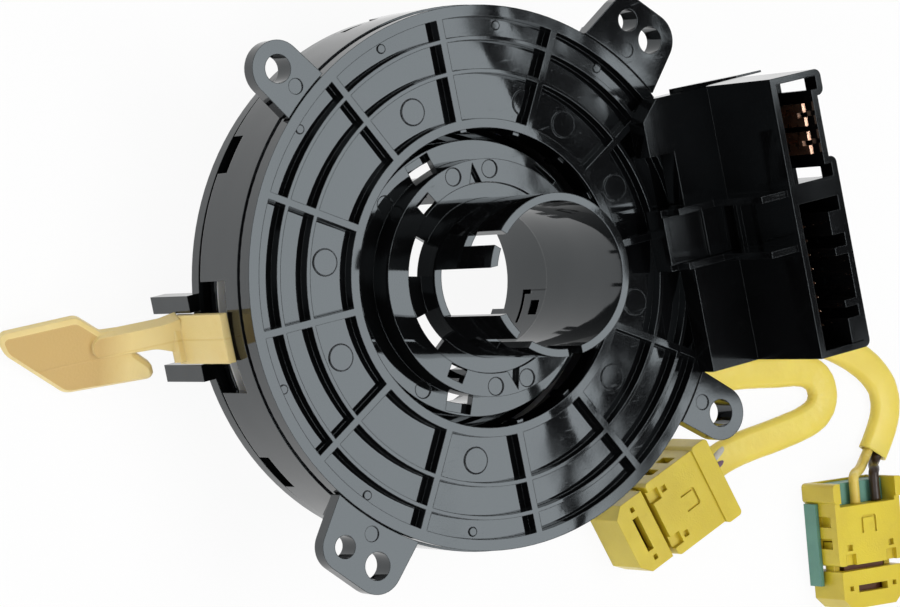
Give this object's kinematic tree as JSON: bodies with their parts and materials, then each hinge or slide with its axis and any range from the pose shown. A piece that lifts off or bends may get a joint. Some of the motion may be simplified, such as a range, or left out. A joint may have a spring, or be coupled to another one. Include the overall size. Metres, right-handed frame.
{
  "type": "steering clock spring",
  "caption": "Round steering clock spring with a ribbed cover, four mounting ears, a connector tower, a lock key and squib leads with plugs.",
  "frame": {"origin": "centre of the rotor's bore in the plane of the four ears, which is also the plane of the rib tops", "axes": "+Z along the steering axis towards the column, +X from the axis towards the connector tower, +Y completes the frame"},
  "size_m": [0.2043, 0.1443, 0.062],
  "materials": {
    "black_plastic": "moulded, semi gloss",
    "tower_plastic": "moulded, semi gloss",
    "rotor_plastic": "moulded, semi gloss",
    "copper": "plated copper alloy",
    "tape": "dark polyester ribbon cable",
    "sheet": "low-friction sheet",
    "yellow_sleeve": "soft vinyl sleeve",
    "yellow_plastic": "moulded, satin",
    "dark_red_plastic": "moulded, satin",
    "green_plastic": "moulded, satin",
    "tan_plastic": "moulded, satin"
  },
  "bodies": {
    "stator": {"ribbed_cover": "black_plastic", "outer_case": "black_plastic", "connector_housing": "tower_plastic", "terminal_cover": "tower_plastic", "side_latch": "tower_plastic", "upper_terminals": "copper", "lower_terminals": "copper", "flat_cable": "tape", "second_flat_cable": "tape", "glide_sheet": "sheet", "outer_cable_holder": "rotor_plastic"},
    "rotor": {"front_rotor": "rotor_plastic", "rear_hub": "rotor_plastic", "cancel_sleeve": "rotor_plastic", "inner_cable_holder": "rotor_plastic", "switch_pins": "copper", "lead_clamp": "rotor_plastic", "squib_lead": "yellow_sleeve", "second_squib_lead": "yellow_sleeve", "squib_wires": "yellow_sleeve", "squib_housing": "yellow_plastic", "squib_contacts": "dark_red_plastic", "second_squib_housing": "yellow_plastic", "second_squib_contacts": "dark_red_plastic", "second_squib_retainer": "green_plastic", "second_squib_rail": "green_plastic"},
    "key": {"lock_key": "tan_plastic"},
    "plug_lock": {"squib_lock": "yellow_plastic"},
    "second_plug_lock": {"second_squib_lock": "yellow_plastic"}
  },
  "joints": [
    {"name": "rotor_spin", "type": "hinge", "parent": "stator", "child": "rotor", "pos_m": [0, 0, 0], "axis": [0, 0, 1], "range_deg": [-900, 900]},
    {"name": "key_pull", "type": "slide", "parent": "rotor", "child": "key", "axis": [-1, 0, 0], "range_m": [0, 0.025]},
    {"name": "plug_lock_slide", "type": "slide", "parent": "rotor", "child": "plug_lock", "axis": [-0.9511, -0.309, 0], "range_m": [0, 0.0025]},
    {"name": "second_plug_lock_slide", "type": "slide", "parent": "rotor", "child": "second_plug_lock", "axis": [-0.1219, -0.9925, 0], "range_m": [0, 0.0025]}
  ]
}
